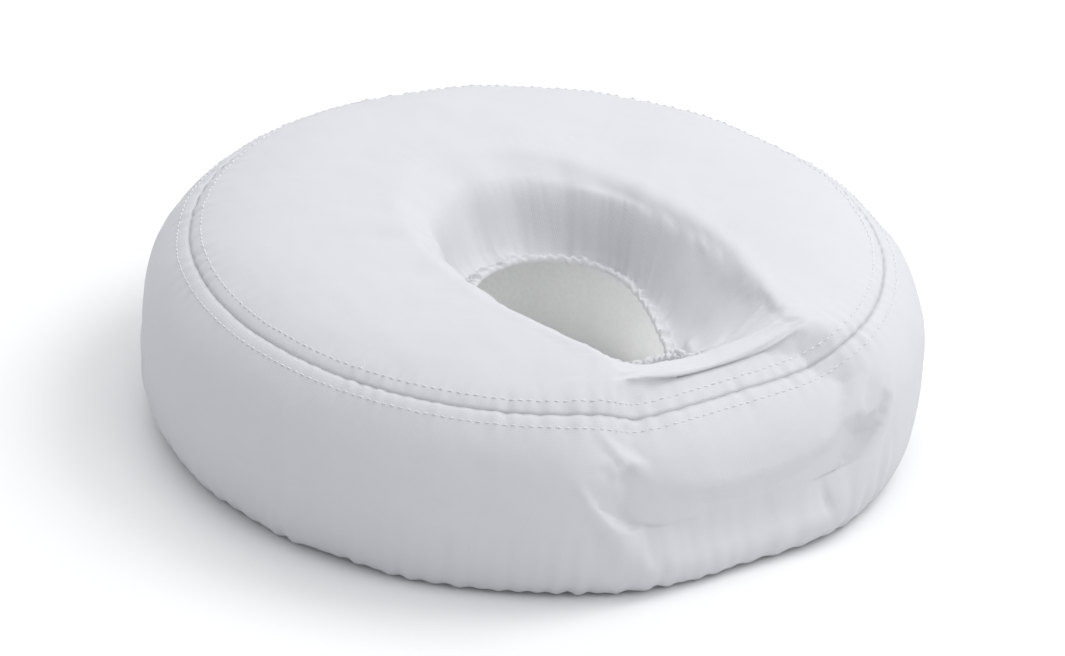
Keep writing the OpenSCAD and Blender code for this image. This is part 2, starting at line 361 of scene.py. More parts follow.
def mat(name, colour, rough=0.8, sheen=0.0, coat=0.0, spec=0.5, sub=0.0):
    m = bpy.data.materials.new(name)
    m["slot"] = name
    m.use_nodes = True
    b = m.node_tree.nodes["Principled BSDF"]
    b.inputs["Base Color"].default_value = (*colour, 1)
    b.inputs["Roughness"].default_value = rough
    b.inputs["Specular IOR Level"].default_value = spec
    b.inputs["Sheen Weight"].default_value = sheen
    b.inputs["Sheen Roughness"].default_value = 0.45
    b.inputs["Coat Weight"].default_value = coat
    b.inputs["Coat Roughness"].default_value = 0.35
    if sub:
        b.inputs["Subsurface Weight"].default_value = sub
        b.inputs["Subsurface Radius"].default_value = (0.004, 0.004, 0.004)
        b.inputs["Subsurface Scale"].default_value = 1.0
    return m, m.node_tree, b


def node(nt, kind, **values):
    n = nt.nodes.new(kind)
    for k, v in values.items():
        if k in n.inputs:
            n.inputs[k].default_value = v
        else:
            setattr(n, k, v)
    return n


def maths(nt, op, a, b=None):
    n = nt.nodes.new("ShaderNodeMath")
    n.operation = op
    for i, v in enumerate((a, b)):
        if v is None:
            continue
        if isinstance(v, (int, float)):
            n.inputs[i].default_value = v
        else:
            nt.links.new(v, n.inputs[i])
    return n.outputs[0]


def tinted(nt, b, factor, dark, light):
    r = node(nt, "ShaderNodeMix", data_type="RGBA")
    r.inputs[6].default_value = (*dark, 1)
    r.inputs[7].default_value = (*light, 1)
    nt.links.new(factor, r.inputs[0])
    nt.links.new(r.outputs[2], b.inputs["Base Color"])
    return r


def weave(nt, coord, pitch, turn=0.0):
    """Height of a plain weave of the given thread pitch in metres."""
    mp = node(nt, "ShaderNodeMapping")
    mp.inputs["Rotation"].default_value = (0, 0, turn)
    nt.links.new(coord, mp.inputs["Vector"])
    sep = node(nt, "ShaderNodeSeparateXYZ")
    # threads wander a little
    wob = node(nt, "ShaderNodeTexNoise", Scale=120.0, Detail=2.0)
    nt.links.new(coord, wob.inputs["Vector"])
    nt.links.new(mp.outputs[0], sep.inputs[0])
    w = maths(nt, "MULTIPLY", wob.outputs["Fac"], pitch * 1.6)
    k = math.pi / pitch
    x = maths(nt, "MULTIPLY", maths(nt, "ADD", sep.outputs[0], w), k)
    y = maths(nt, "MULTIPLY", maths(nt, "ADD", sep.outputs[1], w), k)
    sx, sy = maths(nt, "SINE", x), maths(nt, "SINE", y)
    ax, ay = maths(nt, "ABSOLUTE", sx), maths(nt, "ABSOLUTE", sy)
    # over and under
    over = maths(nt, "MULTIPLY", maths(nt, "MULTIPLY", sx, sy), 0.25)
    return maths(nt, "ADD", maths(nt, "ADD", maths(nt, "MULTIPLY", ax, 0.5), maths(nt, "MULTIPLY", ay, 0.5)), over)


def cotton(name, colour, pitch=0.00055, bump=0.16, uv="cloth", fuzz=0.5, through=0.22):
    m, nt, b = mat(name, colour, rough=0.92, sheen=0.18, spec=0.25)
    # thin cotton lets some light through
    out = nt.nodes["Material Output"]
    tr = node(nt, "ShaderNodeBsdfTranslucent")
    tr.inputs["Color"].default_value = (colour[0] * 1.1, colour[1] * 1.1, colour[2] * 1.08, 1)
    mix = node(nt, "ShaderNodeMixShader")
    mix.inputs[0].default_value = through
    nt.links.new(b.outputs[0], mix.inputs[1])
    nt.links.new(tr.outputs[0], mix.inputs[2])
    nt.links.new(mix.outputs[0], out.inputs["Surface"])
    co = node(nt, "ShaderNodeUVMap", uv_map=uv).outputs[0]
    obj = node(nt, "ShaderNodeTexCoord").outputs["Object"]
    wv = weave(nt, co, pitch)
    nap = node(nt, "ShaderNodeTexNoise", Scale=900.0, Detail=4.0, Roughness=0.65)
    nt.links.new(obj, nap.inputs["Vector"])
    slub = node(nt, "ShaderNodeTexNoise", Scale=60.0, Detail=3.0)
    nt.links.new(obj, slub.inputs["Vector"])
    big = node(nt, "ShaderNodeTexNoise", Scale=9.0, Detail=2.0)
    nt.links.new(obj, big.inputs["Vector"])
    h = maths(nt, "ADD", maths(nt, "MULTIPLY", wv, 1.0), maths(nt, "MULTIPLY", nap.outputs["Fac"], fuzz))
    bp = node(nt, "ShaderNodeBump", Strength=bump, Distance=0.0006)
    nt.links.new(h, bp.inputs["Height"])
    nt.links.new(bp.outputs[0], b.inputs["Normal"])
    # colour: painted shade in the weave's hollows between the threads (darker where the weave height is low), plus
    # random tone from the slub and large noise
    f = maths(nt, "ADD", maths(nt, "MULTIPLY", wv, 0.35), maths(nt, "ADD", maths(nt, "MULTIPLY", slub.outputs["Fac"], 0.4),
              maths(nt, "MULTIPLY", big.outputs["Fac"], 0.5)))
    f.node.use_clamp = True
    tinted(nt, b, f, [c * 0.94 for c in colour[:2]] + [colour[2] * 0.955], [min(1, c * 1.02) for c in colour])
    rr = node(nt, "ShaderNodeMapRange")
    rr.inputs["To Min"].default_value, rr.inputs["To Max"].default_value = 0.84, 0.98
    nt.links.new(slub.outputs["Fac"], rr.inputs["Value"])
    nt.links.new(rr.outputs[0], b.inputs["Roughness"])
    return m


def leatherette(name, colour, rough=0.42):
    m, nt, b = mat(name, colour, rough=rough, coat=0.08, spec=0.45)
    obj = node(nt, "ShaderNodeTexCoord").outputs["Object"]
    grain = node(nt, "ShaderNodeTexVoronoi", Scale=620.0, feature="SMOOTH_F1")
    grain.inputs["Smoothness"].default_value = 0.6
    nt.links.new(obj, grain.inputs["Vector"])
    fine = node(nt, "ShaderNodeTexNoise", Scale=1500.0, Detail=3.0)
    nt.links.new(obj, fine.inputs["Vector"])
    big = node(nt, "ShaderNodeTexNoise", Scale=14.0, Detail=3.0)
    nt.links.new(obj, big.inputs["Vector"])
    h = maths(nt, "ADD", grain.outputs["Distance"], maths(nt, "MULTIPLY", fine.outputs["Fac"], 0.35))
    bp = node(nt, "ShaderNodeBump", Strength=0.28, Distance=0.0004)
    nt.links.new(h, bp.inputs["Height"])
    nt.links.new(bp.outputs[0], b.inputs["Normal"])
    # colour: painted shade in the grain's hollows, darker where the grain height is low, plus random tone from the
    # large noise
    f = maths(nt, "ADD", maths(nt, "MULTIPLY", grain.outputs["Distance"], 0.5), maths(nt, "MULTIPLY", big.outputs["Fac"], 0.6))
    f.node.use_clamp = True
    tinted(nt, b, f, [c * 0.93 for c in colour], [min(0.9, c * 1.03) for c in colour])
    rr = node(nt, "ShaderNodeMapRange")
    rr.inputs["To Min"].default_value, rr.inputs["To Max"].default_value = rough - 0.07, rough + 0.12
    nt.links.new(big.outputs["Fac"], rr.inputs["Value"])
    nt.links.new(rr.outputs[0], b.inputs["Roughness"])
    return m


def foam_mat(name, colour, cell):
    m, nt, b = mat(name, colour, rough=0.95, spec=0.1)
    obj = node(nt, "ShaderNodeTexCoord").outputs["Object"]
    v = node(nt, "ShaderNodeTexVoronoi", Scale=1.0 / cell, feature="F1")
    nt.links.new(obj, v.inputs["Vector"])
    big = node(nt, "ShaderNodeTexNoise", Scale=30.0, Detail=4.0)
    nt.links.new(obj, big.inputs["Vector"])
    bp = node(nt, "ShaderNodeBump", Strength=0.7, Distance=0.0008)
    nt.links.new(v.outputs["Distance"], bp.inputs["Height"])
    nt.links.new(bp.outputs[0], b.inputs["Normal"])
    # colour: painted shade in the pits of the foam cells, darker towards each cell's centre, plus random tone from the
    # large noise
    f = maths(nt, "ADD", maths(nt, "MULTIPLY", v.outputs["Distance"], 0.8), maths(nt, "MULTIPLY", big.outputs["Fac"], 0.4))
    f.node.use_clamp = True
    tinted(nt, b, f, [c * 0.6 for c in colour], colour)
    return m


def pile_mat(name, colour):
    m, nt, b = mat(name, colour, rough=0.9, sheen=0.5, spec=0.2)
    obj = node(nt, "ShaderNodeTexCoord").outputs["Object"]
    v = node(nt, "ShaderNodeTexVoronoi", Scale=1700.0, feature="F1")
    nt.links.new(obj, v.inputs["Vector"])
    n = node(nt, "ShaderNodeTexNoise", Scale=400.0, Detail=5.0)
    nt.links.new(obj, n.inputs["Vector"])
    h = maths(nt, "ADD", v.outputs["Distance"], n.outputs["Fac"])
    bp = node(nt, "ShaderNodeBump", Strength=0.9, Distance=0.0007)
    nt.links.new(h, bp.inputs["Height"])
    nt.links.new(bp.outputs[0], b.inputs["Normal"])
    tinted(nt, b, n.outputs["Fac"], [c * 0.45 for c in colour], [min(1, c * 1.7) for c in colour])
    return m


def ribbed(name, colour, pitch, bump=0.5, rough=0.7):
    """Braided elastic or ribbon: ribs across the length, from the piece's own UV."""
    m, nt, b = mat(name, colour, rough=rough, sheen=0.1, spec=0.35)
    co = node(nt, "ShaderNodeUVMap", uv_map="cloth").outputs[0]
    wv = weave(nt, co, pitch)
    n = node(nt, "ShaderNodeTexNoise", Scale=500.0, Detail=3.0)
    nt.links.new(node(nt, "ShaderNodeTexCoord").outputs["Object"], n.inputs["Vector"])
    bp = node(nt, "ShaderNodeBump", Strength=bump, Distance=0.0005)
    nt.links.new(maths(nt, "ADD", wv, maths(nt, "MULTIPLY", n.outputs["Fac"], 0.4)), bp.inputs["Height"])
    nt.links.new(bp.outputs[0], b.inputs["Normal"])
    # colour: painted shade in the grooves between the ribs, darker where the weave height is low
    f = maths(nt, "MULTIPLY", wv, 0.9)
    f.node.use_clamp = True
    tinted(nt, b, f, [c * 0.82 for c in colour], colour)
    return m


def thread_mat(name, colour):
    m, nt, b = mat(name, colour, rough=0.6, sheen=0.2, spec=0.4)
    obj = node(nt, "ShaderNodeTexCoord").outputs["Object"]
    w = node(nt, "ShaderNodeTexNoise", Scale=2500.0, Detail=2.0)
    nt.links.new(obj, w.inputs["Vector"])
    bp = node(nt, "ShaderNodeBump", Strength=0.4, Distance=0.0002)
    nt.links.new(w.outputs["Fac"], bp.inputs["Height"])
    nt.links.new(bp.outputs[0], b.inputs["Normal"])
    tinted(nt, b, w.outputs["Fac"], [c * 0.85 for c in colour], colour)
    return m


COVER = (0.745, 0.745, 0.77)
M_COVER = cotton("cover_cotton", COVER)
M_TAPE = cotton("cover_tape", (0.74, 0.74, 0.76), pitch=0.0007, bump=0.22)
M_ELASTIC = ribbed("elastic_braid", (0.74, 0.73, 0.70), 0.0012)
M_LABEL = ribbed("label_satin", (0.82, 0.82, 0.81), 0.0005, bump=0.15, rough=0.38)
M_PU = leatherette("upholstery", (0.85, 0.85, 0.84))
M_PU_BASE = leatherette("upholstery_base", (0.74, 0.73, 0.71), rough=0.5)
M_SOFT = foam_mat("foam_soft", (0.86, 0.79, 0.55), 0.0012)
M_FIRM = foam_mat("foam_firm", (0.70, 0.66, 0.50), 0.0009)
M_LOOP = pile_mat("loop_pile", (0.035, 0.035, 0.04))
M_THREAD = thread_mat("thread", (0.78, 0.78, 0.80))
M_THREAD_PU = thread_mat("thread_upholstery", (0.66, 0.64, 0.60))


# ------------------------------------------------------------------ the horseshoe's solid, for the cloth to lie on

def horseshoe_rings(e=0.0):
    foot = shoe_profile("foot", e, 7)
    brow = shoe_profile("brow", e, 17)
    return foot + brow


def closed_shoe(name, rings, rise=True):
    R = np.array(rings)
    m = len(R)
    v, f = [R.reshape(-1, 3)], [grid_faces(m, NS)]
    at = m * NS
    for ring, up in ((R[0], 0), (R[-1], 1)):
        for g in shoe_cap(ring, 12, rise and bool(up)):
            f.append(grid_faces(g.shape[0], g.shape[1], loop=False, start=at))
            v.append(g.reshape(-1, 3))
            at += g.shape[0] * g.shape[1]
    return new_mesh(name, np.concatenate(v), np.concatenate(f), weld=0.02)


# ------------------------------------------------------------------ cloth simulation of the cover

ROWS = dict(tops=30, brows=14, sides=9, feet=5, unders=4)
NC = 300


def fair_cover():
    P, t = cover_grid(NC, off=0.3, **ROWS)
    return P, t


def rest_cover(P, t):
    """The cut shape that the cover's cloth wants: fuller round the slot and hem, which the
    elastics draw in."""
    R = P.copy()
    tops, total = ROWS["tops"], len(P)
    # fullness at the slot, fading out up the valley
    for k in range(0, 15):
        w = 0.30 * (1 - k / 15) ** 1.2
        c = np.array([0, SLOT_Y, 0])
        R[k, :, :2] = c[:2] + (P[k, :, :2] - c[:2]) * (1 + w)
    # slack of the whole top and side
    R[:, :, :2] *= 1.003
    # the skirt hangs as a straight strip, whose lower part the hem draws in
    first = tops + ROWS["brows"] + ROWS["sides"] - 2
    o, nr = outline(t)
    z = P[first, :, 2].copy()
    for k in range(first, total):
        step = np.linalg.norm(P[k] - P[k - 1], axis=-1)
        z = z - step
        R[k] = (o + 0.3 * nr) * 0.998
        R[k, :, 2] = z
    return R


def simulate(P, t, frames=28):
    K = 10.0   # the cloth is solved ten times as large, where the solver's distances suit it
    sc = bpy.context.scene
    m, n, _ = P.shape
    pad = closed_shoe("sim_pad", horseshoe_rings(-PAD_GAP))
    me = pad.data
    co = np.zeros(len(me.vertices) * 3)
    me.vertices.foreach_get("co", co)
    me.vertices.foreach_set("co", co * K)
    me.update()
    pad.modifiers.new("Collision", "COLLISION")
    cs = pad.collision
    cs.thickness_outer, cs.thickness_inner = 0.008, 0.05
    cs.damping, cs.cloth_friction = 0.3, 6.0
    cs.use_culling, cs.use_normal = False, False
    o = new_mesh("sim_cover", P.reshape(-1, 3), grid_faces(m, n))
    me = o.data
    r = np.random.default_rng(11)
    jitter = r.normal(0, 0.05, P.shape)
    me.vertices.foreach_set("co", ((P + jitter) * MM * K).ravel())
    o.shape_key_add(name="Basis")
    rest = o.shape_key_add(name="rest")
    rest.data.foreach_set("co", (rest_cover(P, t) * MM * K).ravel())
    rest.value = 0.0
    pin = o.vertex_groups.new(name="pin")
    hold = {0: 1.0, 1: 0.92, m - 1: 1.0, m - 2: 0.9}
    for row, w in hold.items():
        pin.add([row * n + j for j in range(n)], w, "REPLACE")
    c = o.modifiers.new("Cloth", "CLOTH")
    s = c.settings
    s.quality = 8
    s.time_scale = 1.0
    s.mass = 0.25
    s.air_damping = 2.0
    s.bending_model = "ANGULAR"
    s.tension_stiffness, s.compression_stiffness, s.shear_stiffness = 60, 40, 12
    s.bending_stiffness = 0.9
    s.tension_damping, s.compression_damping, s.shear_damping, s.bending_damping = 12, 12, 8, 1.0
    s.vertex_group_mass = "pin"
    s.pin_stiffness = 1.0
    s.rest_shape_key = rest
    c.collision_settings.distance_min = 0.008
    c.collision_settings.collision_quality = 4
    c.collision_settings.use_self_collision = False
    s.effector_weights.gravity = 0.6
    c.point_cache.frame_start, c.point_cache.frame_end = 1, frames
    sc.frame_start, sc.frame_end = 1, frames
    for f in range(1, frames + 1):
        sc.frame_set(f)
    e = o.evaluated_get(bpy.context.evaluated_depsgraph_get())
    em = e.to_mesh()
    co = np.zeros(len(em.vertices) * 3)
    em.vertices.foreach_get("co", co)
    e.to_mesh_clear()
    S = co.reshape(m, n, 3) / (MM * K)
    S[..., 2] = np.maximum(S[..., 2], 0.9)
    sc.frame_set(1)
    for ob in (o, pad):
        d = ob.data
        bpy.data.objects.remove(ob)
        bpy.data.meshes.remove(d)
    if not np.isfinite(S).all():
        return P
    # no point strays far from the fair shape
    off = S - P
    far = np.linalg.norm(off, axis=-1, keepdims=True)
    return P + off * np.minimum(1, 9.0 / np.maximum(far, 1e-9))


def upsample(P):
    """Twice the columns and rows of a ring grid, through the same points, smoothly."""
    def mid_loop(Q):
        a, b, c, d = np.roll(Q, 1, 1), Q, np.roll(Q, -1, 1), np.roll(Q, -2, 1)
        h = (-a + 9 * b + 9 * c - d) / 16
        out = np.empty((Q.shape[0], Q.shape[1] * 2, 3))
        out[:, 0::2], out[:, 1::2] = Q, h
        return out

    def mid_open(Q):
        E = np.concatenate([2 * Q[:1] - Q[1:2], Q, 2 * Q[-1:] - Q[-2:-1]])
        h = (-E[:-3] + 9 * E[1:-2] + 9 * E[2:-1] - E[3:]) / 16
        out = np.empty((Q.shape[0] * 2 - 1, Q.shape[1], 3))
        out[0::2], out[1::2] = Q, h
        return out
    return mid_open(mid_loop(P))


P0, T0 = fair_cover()
S0 = simulate(P0, T0)
COVER_P = upsample(S0)
COVER_T = math.pi / 2 + TAU * np.arange(COVER_P.shape[1]) / COVER_P.shape[1]


# ------------------------------------------------------------------ the cover's pieces

def rows_of(P, a, b):
    return P[a:b + 1]


def lay_uv(P):
    """UV in metres: x and y for the face of the top, arc and height for a side."""
    x, y = P[..., 0], P[..., 1]
    return np.stack([x, y], -1) * MM


def side_uv(P):
    n = P.shape[1]
    arc = np.cumsum(np.linalg.norm(np.roll(P[0], -1, 0) - P[0], axis=-1)) * MM
    down = np.concatenate([[0], np.cumsum(np.linalg.norm(np.diff(P.mean(1), axis=0), axis=-1))]) * MM
    return np.stack(np.broadcast_arrays(arc[None, :], down[:, None]), -1)


CT = 0.8            # the cotton's thickness
M_ROWS = len(COVER_P)
# the seam's row: the one whose fair shape is nearest the seam's inset
_fair = upsample(P0)
_e = about_inset(_fair[:, 0, 0], _fair[:, 0, 1])
_brow0 = 2 * ROWS["tops"]
SEAM = _brow0 + int(np.argmin(np.abs(_e[_brow0:_brow0 + 2 * ROWS["brows"]] - SEAM_IN)))
HEM0 = M_ROWS - 1 - 2 * ROWS["unders"] + 2      # where the hem's tape begins
NRM = grid_normals(COVER_P)
if NRM[M_ROWS // 3, :, 2].mean() < 0:
    NRM = -NRM


def fine_detail(P, N, rows):
    """Small creases that the cloth solver's mesh is too coarse for."""
    x, y, z = P[..., 0], P[..., 1], P[..., 2]
    out = 0.20 * lumps(x, y, z, 3, 38) + 0.06 * lumps(x, y, z, 4, 13)
    t = COVER_T[None, :]
    k = np.arange(rows[0], rows[1] + 1)[:, None]
    # short puckers on both sides of the perimeter seam
    ds = np.abs(k - SEAM) * 1.25
    pk = wavy(COVER_T, 21, 70, 150, 0.3)[None, :]
    out = out + 0.22 * pk * np.exp(-(ds / 5.5) ** 2)
    # gathers at the slot
    dk = k * 1.1
    gs = wavy(COVER_T, 23, 34, 78, 0.4)[None, :]
    out = out + 0.26 * gs * np.exp(-(dk / 9.0) ** 1.5)
    # and the longer soft folds that run out of them, most at the crown end
    fold = wavy(COVER_T, 27, 12, 30, 0.5)[None, :]
    crown = 0.45 + 0.55 * smooth((np.sin(COVER_T)[None, :] + 0.3) / 1.0)
    out = out + 0.50 * fold * crown * np.exp(-(dk / 27.0) ** 1.8) * smooth(dk / 6.0)
    # gathers above the hem
    dh = (M_ROWS - 1 - k) * 1.6
    gh = wavy(COVER_T, 25, 60, 130, 0.4)[None, :]
    out = out + 0.40 * gh * np.exp(-(dh / 24.0) ** 2)
    return P + N * out[..., None]


DETAIL = fine_detail(COVER_P, NRM, (0, M_ROWS - 1))


def seam_turn(P, N, edge_row, rows, depth=0.8, width=1.3):
    """The cloth turns in along a seam."""
    k = np.arange(rows[0], rows[1] + 1)[:, None]
    ds = np.abs(k - edge_row) * 1.25
    return P - N * (depth * np.exp(-(ds / width) ** 2))[..., None]


def cover_piece(name, a, b, material, uv, nodes):
    P = seam_turn(rows_of(DETAIL, a, b), rows_of(NRM, a, b), SEAM, (a, b))
    N = grid_normals(P)
    if (N * rows_of(NRM, a, b)).sum() < 0:
        N = -N
    o = ring_shell(name, P, P - N * CT, uv(P))
    o.data.materials.append(material)
    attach(o, "root")
    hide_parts(*nodes)
    return o, P, N


top_panel, TOP_P, TOP_N = cover_piece("cover_top", 3, SEAM, M_COVER, lay_uv, ["cover_top_panel"])
skirt, SKIRT_P, SKIRT_N = cover_piece("cover_side", SEAM, HEM0 + 2, M_COVER, side_uv, ["cover_skirt"])


# ---- bindings: a folded tape round the slot and round the hem, with the elastic inside
def band(name, P, N, lap, thick, gathers, amp, material, nodes, seed, wrap_extra=0.5):
    """A soft folded tape round the grid's first row: lap is how many rows it covers."""
    n = P.shape[1]
    t = COVER_T
    g = wavy(t, seed, gathers[0], gathers[1], 0.3)
    edge, over = P[0], P[lap]
    # the gathers lie flatter where the edge turns sharply
    seg = np.linalg.norm(np.roll(edge, -1, 0) - np.roll(edge, 1, 0), axis=-1)
    g = g * smooth(seg / (0.9 * seg.mean()))
    puff = 1 + 0.14 * g
    along = unit(edge - over)                      # from the tape's seam towards the free edge
    width = np.linalg.norm(edge - over, axis=-1)[:, None]
    nn = unit(N[:lap + 1].mean(0))
    pts = []
    count = 18
    for i in range(count):
        a = TAU * i / count
        # a flattened loop, fuller at the fold
        x = math.cos(a)
        y = math.sin(a)
        half = thick / 2 * (1 + 0.18 * x)
        sx = 0.5 + 0.5 * np.sign(x) * abs(x) ** 0.8
        reach = -0.02 + (1.02 + wrap_extra / np.maximum(width, 1e-6)) * sx
        h = np.sign(y) * abs(y) ** 0.75 * half
        ripple = amp * g * (0.35 + 0.65 * sx)
        pts.append(over + along * (width * reach) + nn * (h * puff + ripple)[:, None])
    S = np.array(pts)
    arc = np.cumsum(np.linalg.norm(np.roll(edge, -1, 0) - edge, axis=-1)) * MM
    uv = np.stack(np.broadcast_arrays(arc[None, :], (np.arange(count) * 0.0011)[:, None]), -1)
    o = ring_tube(name, S, uv)
    o.data.materials.append(material)
    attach(o, "root")
    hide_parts(*nodes)
    return o, S


slot_band, SLOT_S = band("cover_slot_tape", DETAIL[:8], NRM[:8], 5, 2.5, (30, 80), 0.2, M_TAPE, ["cover_slot_binding"], 31)
hem_rows = DETAIL[::-1][:M_ROWS - HEM0 + 2]
hem_nrm = NRM[::-1][:M_ROWS - HEM0 + 2]
hem_rows = hem_rows.copy()
hem_rows[..., 2] = np.maximum(hem_rows[..., 2], 1.25)
hem_band, HEM_S = band("cover_hem_tape", hem_rows, hem_nrm, M_ROWS - 1 - HEM0, 2.1, (70, 140), 0.22, M_TAPE, ["cover_hem_binding"], 33)


def elastic(name, S, material, nodes, share=0.55, thick=0.4):
    """The flat elastic in the middle of a tape."""
    c = S.mean(0)
    w = (S[0] - S[len(S) // 2])
    wd = unit(w)
    half = np.linalg.norm(w, axis=-1)[:, None] * share / 2
    nn = unit(np.cross(np.roll(c, -1, 0) - np.roll(c, 1, 0), wd))
    q = [c + wd * half + nn * thick / 2, c + wd * half - nn * thick / 2, c - wd * half - nn * thick / 2, c - wd * half + nn * thick / 2]
    T = np.array(q)
    arc = np.cumsum(np.linalg.norm(np.roll(c, -1, 0) - c, axis=-1)) * MM
    uv = np.stack(np.broadcast_arrays(arc[None, :], np.array([0, 0.0004, 0.006, 0.0064])[:, None]), -1)
    o = ring_tube(name, T, uv)
    o.data.materials.append(material)
    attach(o, "root")
    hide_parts(*nodes)
    return o


slot_elastic = elastic("cover_slot_elastic_band", SLOT_S, M_ELASTIC, ["cover_slot_elastic"])
hem_elastic = elastic("cover_hem_elastic_band", HEM_S, M_ELASTIC, ["cover_hem_elastic"])


# ---- stitches
def stitches(name, path, normal, pitch, length, r, material):
    """Thread dashes along a closed path, each a small arched capsule."""
    seg = np.linalg.norm(np.roll(path, -1, 0) - path, axis=-1)
    s = np.concatenate([[0], np.cumsum(seg)])
    total = s[-1]
    loop = np.concatenate([path, path[:1]])
    nloop = np.concatenate([normal, normal[:1]])
    count = int(round(total / pitch))
    V, F, at = [], [], 0
    sides = 6
    for i in range(count):
        q = (i + np.linspace(0, 1, 6) * (length / pitch)) * total / count
        c = np.stack([np.interp(q, s, loop[:, k]) for k in range(3)], -1)
        nn = unit(np.stack([np.interp(q, s, nloop[:, k]) for k in range(3)], -1))
        d = unit(np.gradient(c, axis=0))
        bb = unit(np.cross(d, nn))
        u = np.linspace(0, 1, 6)
        rr = r * np.array([0.25, 0.85, 1, 1, 0.85, 0.25])
        lift = r * (1.6 * np.sin(math.pi * u) - 0.7)
        c = c + nn * lift[:, None]
        for k in range(6):
            for a in range(sides):
                w = TAU * a / sides
                V.append(c[k] + rr[k] * (math.cos(w) * bb[k] + math.sin(w) * nn[k]))
        for k in range(5):
            for a in range(sides):
                b2 = (a + 1) % sides
                F.append((at + k * sides + a, at + k * sides + b2, at + (k + 1) * sides + b2, at + (k + 1) * sides + a))
        F.append(tuple(at + a for a in range(sides)))
        F.append(tuple(at + 5 * sides + a for a in range(sides)))
        at += 6 * sides
    o = new_mesh(name, np.array(V), F)
    o.data.materials.append(material)
    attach(o, "root")
    return o


def row_path(P, N, row, lift=0.0):
    return P[row] + N[row] * lift, N[row]


p, q = row_path(TOP_P, TOP_N, len(TOP_P) - 1 - 3)
stitches("stitches_top", p, q, 3.2, 2.4, 0.26, M_THREAD)
p, q = row_path(SKIRT_P, SKIRT_N, 3)
stitches("stitches_side", p, q, 3.2, 2.4, 0.26, M_THREAD)
p, q = row_path(DETAIL, NRM, 6, 0.1)
stitches("stitches_slot", SLOT_S[6] * 0.35 + SLOT_S[5] * 0.65, unit(SLOT_S[5] - SLOT_S.mean(0)), 3.0, 2.2, 0.24, M_THREAD)


# ------------------------------------------------------------------ the upholstered horseshoe

def arc_uv(P):
    arc = np.concatenate([[0], np.cumsum(np.linalg.norm(np.diff(P.mean(0), axis=0), axis=-1))]) * MM
    down = np.concatenate([[0], np.cumsum(np.linalg.norm(np.diff(P.mean(1), axis=0), axis=-1))]) * MM
    return np.stack(np.broadcast_arrays(arc[None, :], down[:, None]), -1)


def open_shell(name, P, thick, material, nodes, out):
    """A closed strip of material between its outside P[row, column, 3] and thick mm inside it."""
    N = grid_normals(P, loop=False)
    if (N * out).sum() < 0:
        N = -N
    Q = P - N * thick
    m, n, _ = P.shape
    v = np.concatenate([P.reshape(-1, 3), Q.reshape(-1, 3)])
    f = [grid_faces(m, n, loop=False), grid_faces(m, n, loop=False, start=m * n, turn=True)]
    s = m * n
    j = np.arange(n - 1)
    e = (m - 1) * n
    f.append(np.stack([j, s + j, s + j + 1, j + 1], -1))
    f.append(np.stack([e + j + 1, s + e + j + 1, s + e + j, e + j], -1))
    i = np.arange(m - 1) * n
    f.append(np.stack([i, i + n, s + i + n, s + i], -1))
    f.append(np.stack([i + n - 1, s + i + n - 1, s + i + 2 * n - 1, i + 2 * n - 1], -1))
    uv = arc_uv(P)
    o = new_mesh(name, v, np.concatenate(f), np.concatenate([uv.reshape(-1, 2)] * 2))
    o.data.materials.append(material)
    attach(o, "root")
    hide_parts(*nodes)
    return o, P, N


SEAM_U = 0.66       # the top seam's part of the way up the rounded edge
foot_rows = shoe_profile("foot", 0.4, 12)
side_rows = shoe_profile("brow", 0.4, 26, 0.0, SEAM_U)
BAND_ROWS = np.array(foot_rows + side_rows)


def soften(P, out, ends, bulge, crease, seed):
    """Fullness between the two seams, a turn inwards at each, and soft creases."""
    m = len(P)
    u = np.linspace(0, 1, m)[:, None]
    full = bulge * np.sin(math.pi * u) ** 0.8
    turn = -1.1 * (np.exp(-(u / 0.035) ** 2) + np.exp(-((1 - u) / 0.035) ** 2))
    x, y, z = P[..., 0], P[..., 1], P[..., 2]
    c = crease * lumps(x, y, z * 0.5, seed, 22) * (0.35 + 0.65 * np.sin(math.pi * u))
    return P + out * (full + turn + c)[..., None]


def band_out(cols):
    P = BAND_ROWS[:, cols]
    N = grid_normals(P, loop=False)
    mid = SN[cols][None]
    return P, (N if (N * mid).sum() > 0 else -N)


outer_cols = np.array([i % NS for i in range(NS - TIP, NS + TIP + 1)])
inner_cols = np.arange(TIP, NS - TIP + 1)
P, N = band_out(outer_cols)
outer_band, OUT_P, OUT_N = open_shell("cushion_outer_side", soften(P, N, None, 0.1, 0.12, 41), 1.2, M_PU, ["cushion_outer_band"], N)
P, N = band_out(inner_cols)
inner_band, IN_P, IN_N = open_shell("cushion_inner_side", soften(P, N, None, 0.9, 0.35, 42), 1.2, M_PU, ["cushion_inner_band"], N)


